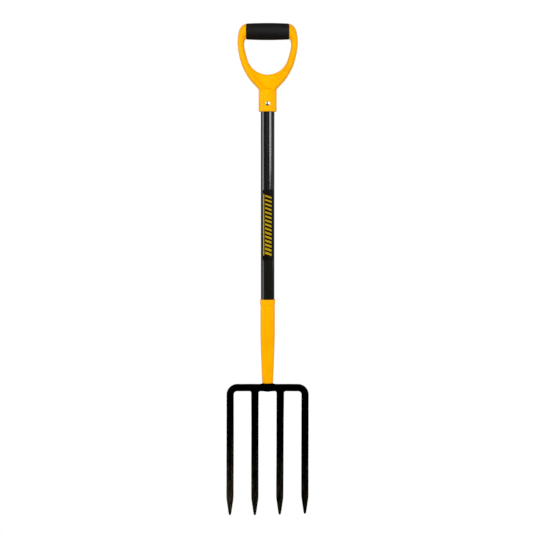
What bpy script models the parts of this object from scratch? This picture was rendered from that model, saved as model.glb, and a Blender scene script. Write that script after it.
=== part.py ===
"""Four-tine digging fork with a fibreglass shaft and a D-grip.

Metres, +Z up. The tool stands on its tine tips with its front facing -Y and its tines spread
along X. The origin lies on the shaft's axis, level with the longest tips.
"""

import math

import bmesh
import bpy
from mathutils import Vector

MM = 0.001
GAP = 0.3 * MM  # clearance between pieces that touch

# Forged head
INNER_TINE_X = 27.3 * MM
OUTER_TINE_X = 80.7 * MM
TINE_WIDTH = 15.7 * MM
CROSSBAR_HEIGHT = 14.6 * MM
CROSSBAR_DEPTH = 12.5 * MM
TINE_DEPTH_TOP = 10.0 * MM
TINE_DEPTH_LOW = 7.5 * MM
HEAD_HEIGHT = 281.8 * MM
CORNER_RADIUS = 15.4 * MM  # of the bar's centre line
CORNER_STEPS = 8
# The crossbar is drawn a little thinner outside its welds: on top past the first distance from
# the middle, and underneath past the second.
WAIST = 0.15 * MM
WAIST_FROM = (21.0 * MM, 44.0 * MM)
WAIST_RUN = 2.0 * MM
TINE_DISH = 20.0 * MM  # how far the tips curve forward
TINE_ROOT_WIDTH = 16.4 * MM
ROOT_LENGTH = 65.0 * MM
# The forged tips don't end quite level or quite in line, from left to right.
TIP_RISES = (0.0, 0.0, 1.2 * MM, 2.8 * MM)
TIP_LEANS = (-0.6 * MM, -0.3 * MM, -1.2 * MM, -0.3 * MM)
TIP_OUTLINE = (  # height above the tip, width there
    (0.0, 2.2 * MM),
    (0.8 * MM, 4.0 * MM),
    (2.4 * MM, 5.3 * MM),
    (5.5 * MM, 6.5 * MM),
    (18.5 * MM, 10.3 * MM),
    (32.0 * MM, 14.4 * MM),
    (40.5 * MM, TINE_WIDTH),
)
FRONT_CHAMFER = (0.20, 0.33)  # shares of a tine's width and depth
BACK_CHAMFER = (0.14, 0.25)
CROSSBAR_CHAMFER = 0.5  # the crossbar's chamfers against a tine's
WELD_LEG = 5.5 * MM
WELD_HALF_DEPTH = 7.1 * MM
WELD_BUTTON = (8.5 * MM, 5.2 * MM, 1.7 * MM)  # half width, half depth, height

# Tang
TENON_RADIUS = 4.5 * MM
TANG_RADIUS = 8.5 * MM
TANG_TIP_RADIUS = 4.0 * MM
TANG_TOP = 455.0 * MM
TANG_TAPER_FROM = 302.0 * MM
BOLSTER = (  # half width, half depth and height above the crossbar of the tang's oval shoulder
    (11.2 * MM, 8.7 * MM, 2.7 * MM),
    (11.9 * MM, 8.9 * MM, 2.1 * MM),
    (13.4 * MM, 9.0 * MM, 1.2 * MM),
    (16.0 * MM, 9.0 * MM, GAP),
)

# Ferrule
FERRULE_TOP = 466.3 * MM
FERRULE_FOOT = 284.8 * MM
FERRULE_COLLAR_RADIUS = 16.1 * MM
FERRULE_COLLAR_HEIGHT = 11.6 * MM
FERRULE_RADIUS = 15.4 * MM
FERRULE_FOOT_RADIUS = 11.9 * MM
FERRULE_STRAIGHT_FROM = 388.0 * MM
FERRULE_WALL = 0.7 * MM
FERRULE_TAPER_POWER = 1.1
GROOVE_DEPTH = 0.3 * MM

# Shaft and what is in it
SHAFT_RADIUS = 14.4 * MM
SHAFT_WALL = 3.5 * MM
SHAFT_BOTTOM = 389.5 * MM
SHAFT_TOP = 903.7 * MM
CORE_TOP = 476.0 * MM
LABEL_LOW = 550.0 * MM
LABEL_HIGH = 700.0 * MM
LABEL_ARC = (math.radians(-47), math.radians(53))  # measured from the front, towards +X
LABEL_THICKNESS = 0.15 * MM

# D-grip
SOCKET_RADIUS = 19.0 * MM
SOCKET_BOTTOM = 863.8 * MM
SOCKET_TOP = 912.0 * MM
SOCKET_SHOULDER = 5.0 * MM
GRIP_HEIGHT = 1030.6 * MM
GRIP_CORE_RADIUS = 11.5 * MM
SLEEVE_HALF_LENGTH = 44.8 * MM
SLEEVE_END_RADIUS = 16.6 * MM
SLEEVE_BARREL = 1.1 * MM
SLEEVE_EDGE = 1.2 * MM
OPENING_FLOOR = 940.8 * MM  # lowest point of the hand opening
OPENING_FLOOR_RADIUS = 44.0 * MM
WEB_HALF_DEPTHS = ((909.0 * MM, 14.5 * MM), (968.0 * MM, 6.0 * MM))  # height, half depth there
WEB_EDGE = 3.5 * MM
# Stations down the right arm: inner point, outer point (x, z) and half depth, in millimetres.
ARM_STATIONS = (
    ((45.1, 1014.1), (45.1, 1047.1), 16.5),
    ((46.0, 1014.1), (51.1, 1044.4), 16.5),
    ((46.8, 1013.6), (56.3, 1039.7), 16.2),
    ((47.5, 1012.7), (59.6, 1033.3), 15.7),
    ((48.2, 1011.2), (61.7, 1025.0), 15.1),
    ((48.8, 1008.4), (62.8, 1015.3), 14.5),
    ((49.2, 1004.2), (63.1, 1005.6), 14.0),
    ((48.6, 996.4), (62.2, 994.9), 13.5),
    ((46.2, 985.7), (60.4, 983.2), 13.1),
    ((43.3, 975.9), (57.8, 972.5), 12.8),
    ((39.9, 965.5), (54.1, 960.3), 12.8),
    ((35.6, 957.2), (48.8, 949.1), 13.3),
    ((31.1, 947.6), (42.7, 938.4), 14.0),
    ((25.7, 938.2), (35.7, 928.6), 14.8),
    ((19.2, 930.1), (28.1, 920.2), 15.5),
    ((12.3, 922.6), (20.4, 912.0), 16.1),
    ((6.2, 914.1), (14.8, 904.1), 16.4),
    ((2.6, 904.8), (11.9, 896.3), 16.2),
)

# Blind rivet
RIVET_HEIGHT = 880.0 * MM
RIVET_HEAD_RADIUS = 4.5 * MM
RIVET_HEAD_HEIGHT = 1.7 * MM
RIVET_SHANK_RADIUS = 2.4 * MM
RIVET_HOLE_RADIUS = 2.7 * MM
RIVET_BORE_RADIUS = 1.3 * MM
RIVET_TAIL_RADIUS = 3.6 * MM
RIVET_SEAT = 18.4 * MM  # distance of the socket's spot face from the shaft's axis

SHARP_ANGLE = math.radians(35)
ROUND_STEPS = 48


# ---------------------------------------------------------------- scene helpers


def clear_scene():
    for thing in list(bpy.data.objects):
        bpy.data.objects.remove(thing)
    for group in list(bpy.data.collections):
        bpy.data.collections.remove(group)


def new_collection(name):
    group = bpy.data.collections.new(name)
    bpy.context.scene.collection.children.link(group)
    return group


def surface(name, colour, roughness, metallic=0.0):
    """A Principled material of one colour, roughness and metallic value."""
    material = bpy.data.materials.new(name)
    material.use_nodes = True
    shader = material.node_tree.nodes["Principled BSDF"]
    shader.inputs["Base Color"].default_value = (*colour, 1.0)
    shader.inputs["Roughness"].default_value = roughness
    shader.inputs["Metallic"].default_value = metallic
    return material


def new_object(name, mesh, material=None):
    """An object in the parts collection, or among the cutters where it has no material."""
    thing = bpy.data.objects.new(name, mesh)
    if material is None:
        cutters.objects.link(thing)
        thing.hide_render = True
        thing.display_type = "WIRE"
    else:
        parts.objects.link(thing)
        mesh.materials.append(material)
    return thing


def mesh_from(bm, name):
    bmesh.ops.recalc_face_normals(bm, faces=bm.faces)
    mesh = bpy.data.meshes.new(name)
    bm.to_mesh(mesh)
    bm.free()
    mesh.shade_smooth()
    mesh.set_sharp_from_angle(angle=SHARP_ANGLE)
    return mesh


# ---------------------------------------------------------------- shape helpers


def loft(name, rings, material=None):
    """A closed skin through rings of equally many points, with a flat face on each end."""
    bm = bmesh.new()
    grid = [[bm.verts.new(point) for point in ring] for ring in rings]
    count = len(grid[0])
    for low, high in zip(grid, grid[1:]):
        for i in range(count):
            j = (i + 1) % count
            bm.faces.new((low[i], low[j], high[j], high[i]))
    bm.faces.new(grid[0])
    bm.faces.new(grid[-1])
    return new_object(name, mesh_from(bm, name), material)


def turned(name, profile, material=None, steps=ROUND_STEPS):
    """A profile of (radius, height) points, down the outside and up the inside, turned about Z.

    A profile that starts and ends on the axis is left open there, and any other is closed.
    """
    points = [Vector((radius, 0, height)) for radius, height in profile]
    solid = min(radius for radius, _ in profile) < 1e-9
    edges = [(i, i + 1) for i in range(len(points) - 1)]
    if not solid:
        edges.append((len(points) - 1, 0))
    mesh = bpy.data.meshes.new(name)
    mesh.from_pydata(points, edges, [])
    thing = new_object(name, mesh, material)
    screw = thing.modifiers.new("turn", "SCREW")
    screw.steps = steps
    screw.render_steps = steps
    screw.use_merge_vertices = True
    screw.merge_threshold = 1e-5
    screw.use_smooth_shade = True
    return thing


def prism(name, outline, along, length, material=None):
    """A flat outline of 3-D points pushed by length along a unit direction."""
    bm = bmesh.new()
    face = bm.faces.new([bm.verts.new(point) for point in outline])
    pushed = bmesh.ops.extrude_face_region(bm, geom=[face])
    moved = [item for item in pushed["geom"] if isinstance(item, bmesh.types.BMVert)]
    bmesh.ops.translate(bm, verts=moved, vec=along * length)
    return new_object(name, mesh_from(bm, name), material)


def cylinder(name, radius, start, end, steps=ROUND_STEPS):
    """A cutter between two points."""
    start = Vector(start)
    span = Vector(end) - start
    bm = bmesh.new()
    bmesh.ops.create_cone(
        bm, cap_ends=True, segments=steps, radius1=radius, radius2=radius, depth=span.length
    )
    bmesh.ops.transform(bm, matrix=span.to_track_quat("Z", "Y").to_matrix().to_4x4(), verts=bm.verts)
    bmesh.ops.translate(bm, verts=bm.verts, vec=start + span / 2)
    return new_object(name, mesh_from(bm, name))


def boolean(thing, operation, *others):
    for other in others:
        step = thing.modifiers.new(other.name, "BOOLEAN")
        step.operation = operation
        step.object = other


def arc(centre, radius, start, end, count):
    """Points on an arc, with angles in degrees from the first axis towards the second."""
    angles = [math.radians(start + (end - start) * i / count) for i in range(count + 1)]
    return [(centre[0] + radius * math.cos(a), centre[1] + radius * math.sin(a)) for a in angles]


def mix(a, b, share):
    return a + (b - a) * share


def read_outline(outline, at):
    """The value that an outline of (position, value) points has at a position."""
    if at <= outline[0][0]:
        return outline[0][1]
    for (x0, y0), (x1, y1) in zip(outline, outline[1:]):
        if at <= x1:
            return mix(y0, y1, (at - x0) / (x1 - x0))
    return outline[-1][1]


# ---------------------------------------------------------------- forged head


def bar_section(centre, across, width, depth, chamfer=1.0):
    """Ring of the forged bar: flat front and back, with wider chamfers towards the front (-Y)."""
    half, deep = width / 2, depth / 2
    front_in = half - chamfer * FRONT_CHAMFER[0] * width
    front_back = deep - chamfer * FRONT_CHAMFER[1] * depth
    rear_in = half - chamfer * BACK_CHAMFER[0] * width
    rear_back = deep - chamfer * BACK_CHAMFER[1] * depth
    corners = (
        (-front_in, -deep),
        (front_in, -deep),
        (half, -front_back),
        (half, rear_back),
        (rear_in, deep),
        (-rear_in, deep),
        (-half, rear_back),
        (-half, -front_back),
    )
    return [centre + across * u + Vector((0, v, 0)) for u, v in corners]


def tine_centre(x, lean, height):
    """Middle of a tine at a height: its tip curves forward and leans a little sideways."""
    share = max(0.0, 1 - height / (HEAD_HEIGHT - CROSSBAR_HEIGHT))
    return Vector((x + lean * share, -TINE_DISH * share**2, height))


def tine_rings(x, tine, top, root_width, across):
    """Rings of one of the four tines from its tip to its top, where it is root_width wide."""
    rise = TIP_RISES[tine]
    heights = [rise + height for height, _ in TIP_OUTLINE]
    body = top - ROOT_LENGTH
    heights += [mix(heights[-1], body, i / 5) for i in range(1, 6)] + [top - ROOT_LENGTH / 2, top]
    rings = []
    for z in heights:
        width = read_outline(TIP_OUTLINE, z - rise)
        width = mix(width, root_width, max(0.0, (z - body) / ROOT_LENGTH))
        depth = mix(TINE_DEPTH_LOW, TINE_DEPTH_TOP, z / HEAD_HEIGHT)
        depth *= 0.45 + 0.55 * min(1.0, width / TINE_WIDTH)
        rings.append(bar_section(tine_centre(x, TIP_LEANS[tine], z), across, width, depth))
    return rings


def make_head_bar(material):
    """Crossbar and both outer tines: one bar, with a hole for the tang's tenon."""
    bend_x = OUTER_TINE_X - CORNER_RADIUS
    level = HEAD_HEIGHT - CROSSBAR_HEIGHT / 2
    bend_z = level - CORNER_RADIUS
    rings = tine_rings(-OUTER_TINE_X, 0, bend_z, TINE_WIDTH, Vector((1, 0, 0)))
    bends = []
    for i in range(1, CORNER_STEPS + 1):
        share = i / CORNER_STEPS
        angle = math.pi / 2 * share
        centre = Vector(
            (-bend_x - CORNER_RADIUS * math.cos(angle), 0, bend_z + CORNER_RADIUS * math.sin(angle))
        )
        across = Vector((math.cos(angle), 0, -math.sin(angle)))
        width = mix(TINE_WIDTH, CROSSBAR_HEIGHT - 2 * WAIST, share)
        depth = mix(TINE_DEPTH_TOP, CROSSBAR_DEPTH, share)
        chamfer = mix(1.0, CROSSBAR_CHAMFER, share)
        bends.append((centre, across, width, depth, chamfer))
    for x, top, bottom in (
        (WAIST_FROM[1], WAIST, WAIST),
        (WAIST_FROM[1] - WAIST_RUN, WAIST, 0),
        (WAIST_FROM[0], WAIST, 0),
        (WAIST_FROM[0] - WAIST_RUN, 0, 0),
    ):
        centre = Vector((-x, 0, level + (bottom - top) / 2))
        bends.append((centre, across, CROSSBAR_HEIGHT - top - bottom, CROSSBAR_DEPTH, CROSSBAR_CHAMFER))
    rings += [bar_section(*bend) for bend in bends]
    for centre, across, *rest in reversed(bends):
        mirrored = Vector((-centre.x, 0, centre.z))
        rings.append(bar_section(mirrored, Vector((-across.x, 0, across.z)), *rest))
    right = tine_rings(OUTER_TINE_X, 3, bend_z, TINE_WIDTH, Vector((-1, 0, 0)))
    bar = loft("head_bar", rings + right[::-1], material)
    low, high = HEAD_HEIGHT - 2 * CROSSBAR_HEIGHT, HEAD_HEIGHT + CROSSBAR_HEIGHT
    boolean(bar, "DIFFERENCE", cylinder("tenon_hole", TENON_RADIUS + GAP, (0, 0, low), (0, 0, high), 32))


def make_inner_tine(name, x, tine, material):
    top = HEAD_HEIGHT - CROSSBAR_HEIGHT - GAP
    loft(name, tine_rings(x, tine, top, TINE_ROOT_WIDTH, Vector((1, 0, 0))), material)


def make_tine_weld(name, x, material):
    """Hollow-faced fillet round the top of an inner tine, under the crossbar."""
    top = HEAD_HEIGHT - CROSSBAR_HEIGHT - GAP
    width, depth = TINE_ROOT_WIDTH + 2 * GAP, TINE_DEPTH_TOP + 2 * GAP
    corners = bar_section(Vector((0, 0, 0)), Vector((1, 0, 0)), width, depth)
    outline = [
        first.lerp(second, i / 3)
        for first, second in zip(corners, corners[1:] + corners[:1])
        for i in range(3)
    ]
    reach = width / 2 + WELD_LEG
    bm = bmesh.new()
    grid = []
    for inner in outline:
        angle = math.atan2(inner.y / WELD_HALF_DEPTH, inner.x / reach)
        outer = Vector((reach * math.cos(angle), WELD_HALF_DEPTH * math.sin(angle), 0))
        leg = (outer - inner).length
        ring = [inner]
        for turn in (0, 30, 60, 90):
            a = math.radians(turn)
            ring.append(inner.lerp(outer, 1 - math.sin(a)) - Vector((0, 0, leg * (1 - math.cos(a)))))
        grid.append([bm.verts.new(point + Vector((x, 0, top))) for point in ring])
    for first, second in zip(grid, grid[1:] + grid[:1]):
        for a, b in zip(range(len(first)), [*range(1, len(first)), 0]):
            bm.faces.new((first[a], first[b], second[b], second[a]))
    new_object(name, mesh_from(bm, name), material)


def make_tang_weld(material):
    """Low button where the tenon is welded off under the crossbar."""
    half_width, half_depth, height = WELD_BUTTON
    bm = bmesh.new()
    bmesh.ops.create_uvsphere(bm, u_segments=32, v_segments=12, radius=1.0)
    bmesh.ops.scale(bm, vec=(half_width, half_depth, height), verts=bm.verts)
    everything = bm.verts[:] + bm.edges[:] + bm.faces[:]
    bmesh.ops.bisect_plane(bm, geom=everything, plane_co=(0, 0, 0), plane_no=(0, 0, 1), clear_outer=True)
    bmesh.ops.holes_fill(bm, edges=bm.edges)
    bmesh.ops.translate(bm, verts=bm.verts, vec=(0, 0, HEAD_HEIGHT - CROSSBAR_HEIGHT - GAP))
    new_object("tang_weld", mesh_from(bm, "tang_weld"), material)


# ---------------------------------------------------------------- handle


def make_tang(material):
    """Tapered round bar with an oval shoulder on the crossbar and a tenon through it."""
    neck = HEAD_HEIGHT + BOLSTER[0][2]
    sections = [
        (TANG_TIP_RADIUS * 0.6, TANG_TIP_RADIUS * 0.6, TANG_TOP),
        (TANG_TIP_RADIUS, TANG_TIP_RADIUS, TANG_TOP - 2 * MM),
        (TANG_RADIUS, TANG_RADIUS, TANG_TAPER_FROM),
        (TANG_RADIUS, TANG_RADIUS, neck),
    ]
    sections += [(half, deep, HEAD_HEIGHT + height) for half, deep, height in BOLSTER]
    sections += [(TENON_RADIUS, TENON_RADIUS, HEAD_HEIGHT + GAP)]
    sections += [(TENON_RADIUS, TENON_RADIUS, HEAD_HEIGHT - CROSSBAR_HEIGHT)]
    angles = [2 * math.pi * i / 32 for i in range(32)]
    rings = [
        [Vector((half * math.cos(a), deep * math.sin(a), z)) for a in angles]
        for half, deep, z in sections
    ]
    loft("tang", rings, material)


def ferrule_radius(height):
    """Outside of the ferrule: parallel at the top, then a swelling taper down to the foot."""
    if height >= FERRULE_STRAIGHT_FROM:
        return FERRULE_RADIUS
    share = (FERRULE_STRAIGHT_FROM - height) / (FERRULE_STRAIGHT_FROM - FERRULE_FOOT)
    return mix(FERRULE_RADIUS, FERRULE_FOOT_RADIUS, share**FERRULE_TAPER_POWER)


def taper_heights(foot):
    """Heights down the ferrule's taper, from the straight stretch to a foot."""
    return [mix(FERRULE_STRAIGHT_FROM, foot, i / 7) for i in range(8)]


def make_ferrule(material):
    """Thin steel sleeve: rounded collar, rolled groove, straight stretch, taper, turned-in foot."""
    collar_low = FERRULE_TOP - FERRULE_COLLAR_HEIGHT
    bore = FERRULE_RADIUS - FERRULE_WALL
    edge = 0.8 * MM
    groove = collar_low - 3 * MM
    lip = 2.2 * MM
    foot = FERRULE_FOOT
    outside = arc((FERRULE_COLLAR_RADIUS - edge, FERRULE_TOP - edge), edge, 90, 0, 3)
    outside += arc((FERRULE_COLLAR_RADIUS - edge, collar_low + edge), edge, 0, -60, 2)
    outside += [
        (FERRULE_RADIUS, collar_low - 0.5 * MM),
        (FERRULE_RADIUS, groove + 1.2 * MM),
        (FERRULE_RADIUS - GROOVE_DEPTH, groove),
        (FERRULE_RADIUS, groove - 1.2 * MM),
    ]
    outside += [(ferrule_radius(z), z) for z in taper_heights(foot + lip)]
    outside += arc((ferrule_radius(foot + lip) - lip, foot + lip), lip, -30, -90, 2)
    inside_foot = foot + lip
    inside = [(ferrule_radius(z) - FERRULE_WALL, z) for z in taper_heights(inside_foot)]
    inside.append((ferrule_radius(inside_foot) - lip, foot + FERRULE_WALL))
    turned("ferrule", outside + inside[::-1] + [(bore, FERRULE_TOP)], material)


def make_tang_core(material):
    """Hardwood core: fills the ferrule's taper below the shaft and the shaft's bore above it."""
    fit = FERRULE_WALL + GAP
    spigot = SHAFT_RADIUS - SHAFT_WALL - GAP
    step = SHAFT_BOTTOM - GAP
    foot = FERRULE_FOOT + 3.2 * MM
    outside = [(0, CORE_TOP), (spigot - 1 * MM, CORE_TOP), (spigot, CORE_TOP - 1 * MM), (spigot, step)]
    outside.append((ferrule_radius(step) - fit, step))
    outside += [(ferrule_radius(z) - fit, z) for z in taper_heights(foot)]
    inside = [
        (TANG_RADIUS + GAP, foot),
        (TANG_RADIUS + GAP, TANG_TAPER_FROM),
        (TANG_TIP_RADIUS + GAP, TANG_TOP),
        (0, TANG_TOP + 1 * MM),
    ]
    turned("tang_core", outside + inside, material, steps=40)


def make_shaft(material):
    """Fibreglass tube with the rivet's hole through its front wall."""
    bore = SHAFT_RADIUS - SHAFT_WALL
    edge = 0.6 * MM
    profile = [
        (SHAFT_RADIUS - edge, SHAFT_TOP),
        (SHAFT_RADIUS, SHAFT_TOP - edge),
        (SHAFT_RADIUS, SHAFT_BOTTOM),
        (bore, SHAFT_BOTTOM),
        (bore, SHAFT_TOP),
    ]
    boolean(turned("shaft", profile, material), "DIFFERENCE", bpy.data.objects["rivet_hole"])


def make_shaft_label(material):
    """Thin film wrapped part of the way round the front of the shaft."""
    inner = SHAFT_RADIUS + GAP
    outer = inner + LABEL_THICKNESS
    count = 12
    angles = [mix(LABEL_ARC[0], LABEL_ARC[1], i / count) for i in range(count + 1)]
    outline = [Vector((outer * math.sin(a), -outer * math.cos(a), LABEL_LOW)) for a in angles]
    outline += [Vector((inner * math.sin(a), -inner * math.cos(a), LABEL_LOW)) for a in reversed(angles)]
    prism("shaft_label", outline, Vector((0, 0, 1)), LABEL_HIGH - LABEL_LOW, material)


# ---------------------------------------------------------------- D-grip


def smooth_stations(stations, between):
    """Extra stations on Catmull-Rom curves through the given ones."""
    flat = [Vector((*inner, *outer)).to_4d() * MM for inner, outer, _ in stations]
    depths = [depth * MM for *_, depth in stations]
    filled = []
    for i in range(len(flat) - 1):
        before, after = max(0, i - 1), min(len(flat) - 1, i + 2)
        for k in range(between):
            t = k / between
            weights = (
                (-t + 2 * t**2 - t**3) / 2,
                (2 - 5 * t**2 + 3 * t**3) / 2,
                (t + 4 * t**2 - 3 * t**3) / 2,
                (t**3 - t**2) / 2,
            )
            used = (before, i, i + 1, after)
            place = sum((flat[j] * w for j, w in zip(used, weights)), Vector((0, 0, 0, 0)))
            filled.append((place, sum(depths[j] * w for j, w in zip(used, weights))))
    filled.append((flat[-1], depths[-1]))
    return filled


def arm_ring(station, side, count=20):
    """Oval ring between a station's inner and outer points, on the right (1) or left (-1)."""
    place, half_depth = station
    inner = Vector((side * place[0], 0, place[1]))
    outer = Vector((side * place[2], 0, place[3]))
    centre, half = (inner + outer) / 2, (outer - inner) / 2
    angles = [2 * math.pi * i / count for i in range(count)]
    return [centre + half * math.cos(a) + Vector((0, half_depth * math.sin(a), 0)) for a in angles]


def make_web():
    """Plate between the arms, thinner towards the rounded floor of the hand opening."""
    reach = 66  # degrees of the floor's arc to each side, up to where the arms cover it
    floor_centre = (0, OPENING_FLOOR + OPENING_FLOOR_RADIUS)
    floor = arc(floor_centre, OPENING_FLOOR_RADIUS, -90 - reach, -90 + reach, 18)
    side = (floor[-1][0] + 8 * MM, floor[-1][1] - 5 * MM)
    low = (12 * MM, SOCKET_TOP - 6 * MM)
    outline = [*floor, side, low, (-low[0], low[1]), (-side[0], side[1])]
    web = prism("web", [Vector((x, -1, z)) for x, z in outline], Vector((0, 1, 0)), 2)
    (low_height, low_depth), (high_height, high_depth) = WEB_HALF_DEPTHS
    for vertex in web.data.vertices:
        share = (vertex.co.z - low_height) / (high_height - low_height)
        vertex.co.y *= mix(low_depth, high_depth, share)
    rounding = web.modifiers.new("rounding", "BEVEL")
    rounding.width = WEB_EDGE
    rounding.segments = 3
    rounding.limit_method = "ANGLE"
    rounding.angle_limit = math.radians(60)
    return web


def make_grip_frame(material):
    """Yellow moulding: socket, web, two arms and the bar that the sleeve sits on."""
    edge = 1.0 * MM
    shoulder = (SOCKET_RADIUS - SOCKET_SHOULDER, SOCKET_TOP - SOCKET_SHOULDER)
    profile = [(0, SOCKET_TOP)] + arc(shoulder, SOCKET_SHOULDER, 90, 0, 5)
    profile += arc((SOCKET_RADIUS - edge, SOCKET_BOTTOM + edge), edge, 0, -90, 2)
    profile.append((0, SOCKET_BOTTOM))
    frame = turned("grip_frame", profile, material)
    stations = smooth_stations(ARM_STATIONS, 2)
    arms = [
        loft(name, [arm_ring(station, side) for station in stations])
        for name, side in (("arm_left", -1), ("arm_right", 1))
    ]
    reach = SLEEVE_HALF_LENGTH + 6 * MM
    bar = cylinder("grip_bar", GRIP_CORE_RADIUS, (-reach, 0, GRIP_HEIGHT), (reach, 0, GRIP_HEIGHT), 32)
    boolean(frame, "UNION", *arms, make_web(), bar)
    bore_low, bore_high = SOCKET_BOTTOM - 10 * MM, SHAFT_TOP + GAP
    bore = cylinder("shaft_bore", SHAFT_RADIUS + GAP, (0, 0, bore_low), (0, 0, bore_high))
    seat = cylinder(
        "rivet_seat",
        RIVET_HEAD_RADIUS + 0.8 * MM,
        (0, -RIVET_SEAT, RIVET_HEIGHT),
        (0, -RIVET_SEAT - 10 * MM, RIVET_HEIGHT),
        32,
    )
    boolean(frame, "DIFFERENCE", bore, seat, bpy.data.objects["rivet_hole"])


def make_grip_sleeve(material):
    """Soft sleeve on the bar, a little fatter in the middle."""
    half, edge = SLEEVE_HALF_LENGTH, SLEEVE_EDGE
    straight = half - edge
    outside = [
        (SLEEVE_END_RADIUS + SLEEVE_BARREL * (1 - (z / straight) ** 2), z)
        for z in (mix(straight, -straight, i / 10) for i in range(11))
    ]
    rounding = arc((SLEEVE_END_RADIUS - edge, straight), edge, 90, 30, 2)
    profile = rounding + outside + [(radius, -z) for radius, z in reversed(rounding)]
    bore = GRIP_CORE_RADIUS + GAP
    profile += [(bore, -half), (bore, half)]
    sleeve = turned("grip_sleeve", profile, material)
    sleeve.rotation_euler = (0, math.pi / 2, 0)
    sleeve.location = (0, 0, GRIP_HEIGHT)


# ---------------------------------------------------------------- rivet


def place_in_socket(piece):
    """Turns a piece made along Z so that its top faces the front, at the rivet's height."""
    piece.rotation_euler = (math.pi / 2, 0, 0)
    piece.location = (0, 0, RIVET_HEIGHT)


def make_rivet(body_material, mandrel_material):
    """Blind rivet: domed head on the socket, and a tail set against the inside of the shaft."""
    seat = RIVET_SEAT + GAP
    tail_start = 9.8 * MM  # distances from the shaft's axis, along the rivet
    tail_end = 4.0 * MM
    crown = seat + RIVET_HEAD_HEIGHT
    bore = RIVET_BORE_RADIUS
    head = RIVET_HEAD_RADIUS
    body = [
        (bore + 0.3 * MM, crown),
        (head * 0.62, crown - 0.25 * MM),
        (head * 0.88, crown - 0.8 * MM),
        (head, seat + 0.35 * MM),
        (head, seat),
        (RIVET_SHANK_RADIUS, seat),
        (RIVET_SHANK_RADIUS, tail_start + 0.3 * MM),
        (RIVET_TAIL_RADIUS * 0.85, tail_start),
        (RIVET_TAIL_RADIUS, (tail_start + tail_end) / 2),
        (RIVET_TAIL_RADIUS * 0.75, tail_end),
        (bore, tail_end),
        (bore, crown - 0.3 * MM),
    ]
    place_in_socket(turned("rivet_body", body, body_material, steps=28))
    pin = bore - GAP
    ball = 1.9 * MM
    mandrel = [
        (0, crown - 0.6 * MM),
        (pin, crown - 0.8 * MM),
        (pin, tail_end - GAP),
        (ball, tail_end - GAP),
        (ball, tail_end - 1.2 * MM),
        (ball * 0.6, tail_end - 2.2 * MM),
        (0, tail_end - 2.5 * MM),
    ]
    place_in_socket(turned("rivet_mandrel", mandrel, mandrel_material, steps=20))


clear_scene()
parts = new_collection("digging_fork")
cutters = new_collection("cutters")

black_steel = surface("black_steel", (0.012, 0.012, 0.013), 0.45)
weld_steel = surface("weld_steel", (0.016, 0.015, 0.015), 0.55)
bare_steel = surface("bare_steel", (0.25, 0.25, 0.26), 0.4, 1.0)
yellow_paint = surface("yellow_paint", (0.95, 0.42, 0.01), 0.35)
yellow_plastic = surface("yellow_plastic", (1.0, 0.48, 0.01), 0.4)
fibreglass = surface("fibreglass", (0.01, 0.01, 0.012), 0.2)
label_film = surface("label_film", (0.55, 0.4, 0.02), 0.5)
soft_black = surface("soft_black", (0.015, 0.015, 0.016), 0.7)
hardwood = surface("hardwood", (0.45, 0.3, 0.16), 0.6)
rivet_metal = surface("rivet_metal", (0.75, 0.76, 0.78), 0.25, 1.0)

cylinder(
    "rivet_hole",
    RIVET_HOLE_RADIUS,
    (0, -RIVET_SEAT - 5 * MM, RIVET_HEIGHT),
    (0, -5 * MM, RIVET_HEIGHT),
    28,
)
make_head_bar(black_steel)
make_inner_tine("inner_tine_left", -INNER_TINE_X, 1, black_steel)
make_inner_tine("inner_tine_right", INNER_TINE_X, 2, black_steel)
make_tine_weld("tine_weld_left", -INNER_TINE_X, weld_steel)
make_tine_weld("tine_weld_right", INNER_TINE_X, weld_steel)
make_tang_weld(weld_steel)
make_tang(black_steel)
make_ferrule(yellow_paint)
make_tang_core(hardwood)
make_shaft(fibreglass)
make_shaft_label(label_film)
make_grip_frame(yellow_plastic)
make_grip_sleeve(soft_black)
make_rivet(rivet_metal, bare_steel)
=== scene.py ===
"""The looks of a four-tine digging fork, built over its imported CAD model.

Metres, +Z up, front facing -Y. Each visible CAD node is replaced by a finer piece of the same
size, and every piece gets a procedural material.
"""

import math

import bmesh
import bpy
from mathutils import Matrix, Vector, noise


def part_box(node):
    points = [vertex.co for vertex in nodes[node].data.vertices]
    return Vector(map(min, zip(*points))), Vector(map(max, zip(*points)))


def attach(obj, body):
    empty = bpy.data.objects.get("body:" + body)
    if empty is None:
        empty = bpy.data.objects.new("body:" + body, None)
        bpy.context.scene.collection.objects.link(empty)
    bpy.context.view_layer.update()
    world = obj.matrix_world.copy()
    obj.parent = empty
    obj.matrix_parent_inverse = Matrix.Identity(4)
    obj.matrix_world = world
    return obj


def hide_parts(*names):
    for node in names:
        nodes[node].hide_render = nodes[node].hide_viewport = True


MM = 0.001
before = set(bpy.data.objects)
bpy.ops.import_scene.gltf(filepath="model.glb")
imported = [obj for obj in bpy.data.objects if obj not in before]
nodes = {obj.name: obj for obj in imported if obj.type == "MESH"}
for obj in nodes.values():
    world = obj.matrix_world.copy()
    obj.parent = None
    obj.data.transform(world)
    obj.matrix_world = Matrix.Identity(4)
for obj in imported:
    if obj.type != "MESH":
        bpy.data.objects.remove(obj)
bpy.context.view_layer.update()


# ---------------------------------------------------------------- sizes

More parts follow.
